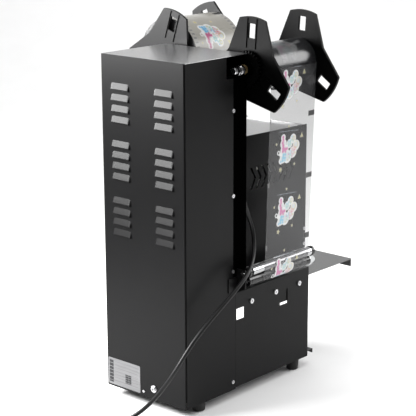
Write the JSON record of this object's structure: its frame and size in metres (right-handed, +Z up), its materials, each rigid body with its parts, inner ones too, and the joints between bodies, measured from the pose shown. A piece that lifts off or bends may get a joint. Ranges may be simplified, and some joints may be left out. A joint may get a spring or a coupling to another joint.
{
  "type": "cup sealing machine",
  "caption": "Automatic cup sealer: tall louvered column, press head, film supply and take-up reels, guide rollers, threaded printed film, sliding cup drawer and mains lead.",
  "frame": {"origin": "on the table, in the middle plane of the column and cup bay, halfway between the drawer's front edge and the column's back", "axes": "+Z up from the table; -Y to the front, where the cup drawer pulls out; +X to the film supply side"},
  "size_m": [0.3727, 0.6902, 0.679],
  "materials": {
    "black_paint": "satin",
    "grey_paint": "satin",
    "bright_steel": "satin",
    "chrome": "polished",
    "aluminium": "satin",
    "brass": "satin",
    "black_plastic": "matte",
    "black_gloss": "gloss",
    "white_plastic": "matte",
    "rubber": "matte",
    "clear_film": "gloss",
    "printed_film": "gloss",
    "smoked_glass": "gloss",
    "board": "satin",
    "cardboard": "matte"
  },
  "bodies": {
    "frame": {"column_sides": "black_paint", "column_top": "grey_paint", "back_cover": "black_paint", "front_plate": "black_paint", "cavity_wall": "black_paint", "base_shell": "black_paint", "floor_plate": "black_paint", "feet": "rubber", "drawer_rails": "black_paint", "head_sides": "black_paint", "head_top": "grey_paint", "head_front": "black_paint", "control_fascia": "black_plastic", "display_window": "smoked_glass", "head_chassis": "bright_steel", "guide_rods": "chrome", "press_motor": "black_plastic", "shaft_bearings": "brass", "takeup_motor": "bright_steel", "roller_brackets": "black_paint", "roller_axles": "chrome", "roller_collars": "black_gloss", "film_web": "clear_film", "film_sensor": "black_plastic", "control_board": "board", "power_supply": "bright_steel", "rating_plate": "aluminium", "screws": "bright_steel", "strain_relief": "rubber", "power_cord": "rubber", "cord_coil": "rubber", "power_plug": "rubber"},
    "supply_reel": {"supply_shaft": "bright_steel", "supply_core": "cardboard", "film_roll": "printed_film", "supply_rear_flange": "black_plastic", "supply_front_flange": "black_plastic", "supply_brake_set": "chrome"},
    "takeup_reel": {"takeup_shaft": "bright_steel", "takeup_core": "black_gloss", "takeup_rear_flange": "black_plastic", "takeup_front_flange": "black_plastic", "takeup_gear": "black_plastic", "takeup_clutch_set": "chrome"},
    "pinion": {"drive_pinion": "bright_steel"},
    "left_lower_roller": {"left_lower_roller": "black_gloss"},
    "left_upper_roller": {"left_upper_roller": "chrome"},
    "right_lower_roller": {"right_lower_roller": "black_gloss"},
    "right_upper_roller": {"right_upper_roller": "chrome"},
    "press": {"press_carriage": "aluminium", "carriage_bushes": "brass", "heater_plate": "aluminium", "cutter_ring": "bright_steel"},
    "screw": {"lead_screw": "bright_steel"},
    "drawer": {"drawer_plate": "grey_paint", "cup_ring": "aluminium"},
    "key_down": {"key_down": "white_plastic"},
    "key_set": {"key_set": "white_plastic"},
    "key_up": {"key_up": "white_plastic"},
    "rocker": {"power_rocker": "black_gloss"}
  },
  "joints": [
    {"name": "supply_spin", "type": "hinge", "parent": "frame", "child": "supply_reel", "pos_m": [0.107, 0, 0.59], "axis": [0, 1, 0], "continuous": true},
    {"name": "takeup_spin", "type": "hinge", "parent": "frame", "child": "takeup_reel", "pos_m": [-0.091, 0, 0.59], "axis": [0, 1, 0], "continuous": true},
    {"name": "pinion_spin", "type": "hinge", "parent": "frame", "child": "pinion", "pos_m": [-0.06381, 0, 0.5576], "axis": [0, 1, 0], "continuous": true},
    {"name": "left_lower_spin", "type": "hinge", "parent": "frame", "child": "left_lower_roller", "pos_m": [-0.106, 0, 0.218], "axis": [0, 1, 0], "continuous": true},
    {"name": "left_upper_spin", "type": "hinge", "parent": "frame", "child": "left_upper_roller", "pos_m": [-0.111, 0, 0.2358], "axis": [0, 1, 0], "continuous": true},
    {"name": "right_lower_spin", "type": "hinge", "parent": "frame", "child": "right_lower_roller", "pos_m": [0.106, 0, 0.218], "axis": [0, 1, 0], "continuous": true},
    {"name": "right_upper_spin", "type": "hinge", "parent": "frame", "child": "right_upper_roller", "pos_m": [0.111, 0, 0.2358], "axis": [0, 1, 0], "continuous": true},
    {"name": "press_slide", "type": "slide", "parent": "frame", "child": "press", "axis": [0, 0, -1], "range_m": [0, 0.028]},
    {"name": "lead_screw_spin", "type": "hinge", "parent": "frame", "child": "screw", "pos_m": [0, -0.0025, 0.3], "axis": [0, 0, 1], "range_deg": [-5, 1015]},
    {"name": "drawer_slide", "type": "slide", "parent": "frame", "child": "drawer", "axis": [0, 1, 0], "range_m": [0, 0.155]},
    {"name": "key_down_press", "type": "slide", "parent": "frame", "child": "key_down", "axis": [0, 1, 0], "range_m": [0, 0.001], "stiffness_N_per_m": 400, "springref_m": -0.0003},
    {"name": "key_set_press", "type": "slide", "parent": "frame", "child": "key_set", "axis": [0, 1, 0], "range_m": [0, 0.001], "stiffness_N_per_m": 400, "springref_m": -0.0003},
    {"name": "key_up_press", "type": "slide", "parent": "frame", "child": "key_up", "axis": [0, 1, 0], "range_m": [0, 0.001], "stiffness_N_per_m": 400, "springref_m": -0.0003},
    {"name": "rocker_tilt", "type": "hinge", "parent": "frame", "child": "rocker", "pos_m": [0.044, -0.1075, 0.278], "axis": [1, 0, 0], "range_deg": [-14, 0]}
  ],
  "couplings": [
    {"joint": "takeup_spin", "follows": "supply_spin", "ratio": 1.7684},
    {"joint": "pinion_spin", "follows": "supply_spin", "ratio": -4.4211},
    {"joint": "left_lower_spin", "follows": "supply_spin", "ratio": 7.2396},
    {"joint": "left_upper_spin", "follows": "supply_spin", "ratio": 8.6875},
    {"joint": "right_lower_spin", "follows": "supply_spin", "ratio": 7.2396},
    {"joint": "right_upper_spin", "follows": "supply_spin", "ratio": 8.6875},
    {"joint": "lead_screw_spin", "follows": "press_slide", "rad_per_m": 628.32}
  ]
}
